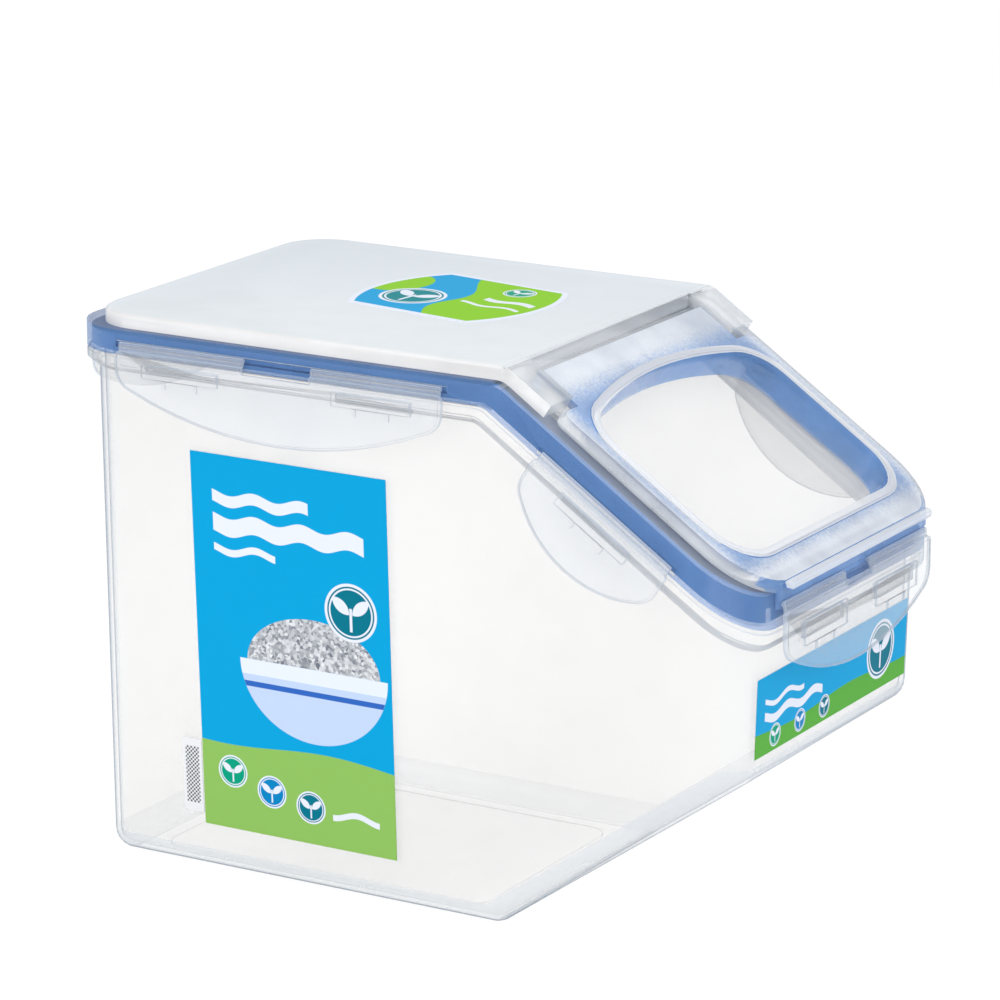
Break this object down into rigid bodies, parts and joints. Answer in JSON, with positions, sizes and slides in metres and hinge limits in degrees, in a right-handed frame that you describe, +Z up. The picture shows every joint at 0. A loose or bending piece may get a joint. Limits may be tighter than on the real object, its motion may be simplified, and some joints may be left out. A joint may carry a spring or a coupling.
{
  "type": "rice bin with flip lid",
  "caption": "Clear plastic rice bin with a sloped pouring end, a lift-off lid, a hinged window lid and fold-down side locks",
  "frame": {"origin": "middle of the bin's whole length and width, on the table", "axes": "+X from the rear towards the pouring end, +Y across to the far side, +Z up"},
  "size_m": [0.2758, 0.156, 0.2005],
  "materials": {
    "clear_wall": "translucent polypropylene, smooth",
    "frosted_lid": "frosted translucent polypropylene",
    "frosted_lock": "frosted translucent polypropylene",
    "seal_blue": "soft silicone, satin",
    "printed_label": "printed film, glossy",
    "plain_label": "printed film, glossy"
  },
  "bodies": {
    "container": {"container_body": "clear_wall", "side_label": "printed_label", "code_label": "plain_label", "front_label": "printed_label"},
    "lid": {"lid_frame": "frosted_lid", "lid_gasket": "seal_blue", "top_label": "printed_label"},
    "flip": {"flip_lid": "frosted_lid", "flip_gasket": "seal_blue"},
    "near_rear_lock": {"near_rear_latch": "frosted_lock"},
    "far_rear_lock": {"far_rear_latch": "frosted_lock"},
    "near_front_lock": {"near_front_latch": "frosted_lock"},
    "far_front_lock": {"far_front_latch": "frosted_lock"},
    "rear_lock": {"rear_latch": "frosted_lock"},
    "front_lock": {"front_latch": "frosted_lock"}
  },
  "joints": [
    {"name": "lid_lift", "type": "slide", "parent": "container", "child": "lid", "axis": [0, 0, 1], "range_m": [0, 0.15]},
    {"name": "flip_hinge", "type": "hinge", "parent": "lid", "child": "flip", "pos_m": [0.04494, 0, 0.19195], "axis": [0, -1, 0], "range_deg": [0, 115]},
    {"name": "near_rear_lock", "type": "hinge", "parent": "lid", "child": "near_rear_lock", "pos_m": [-0.04574, -0.075, 0.1905], "axis": [-1, 0, 0], "range_deg": [-5, 130]},
    {"name": "far_rear_lock", "type": "hinge", "parent": "lid", "child": "far_rear_lock", "pos_m": [-0.04574, 0.075, 0.1905], "axis": [1, 0, 0], "range_deg": [-5, 130]},
    {"name": "near_front_lock", "type": "hinge", "parent": "lid", "child": "near_front_lock", "pos_m": [0.08086, -0.075, 0.15758], "axis": [-0.829, 0, 0.5592], "range_deg": [-5, 130]},
    {"name": "far_front_lock", "type": "hinge", "parent": "lid", "child": "far_front_lock", "pos_m": [0.08086, 0.075, 0.15758], "axis": [0.829, 0, -0.5592], "range_deg": [-5, 130]},
    {"name": "rear_lock", "type": "hinge", "parent": "lid", "child": "rear_lock", "pos_m": [-0.13478, 0, 0.1905], "axis": [0, 1, 0], "range_deg": [-5, 130]},
    {"name": "front_lock", "type": "hinge", "parent": "flip", "child": "front_lock", "pos_m": [0.13478, 0, 0.12853], "axis": [0, -1, 0], "range_deg": [-5, 110]}
  ]
}
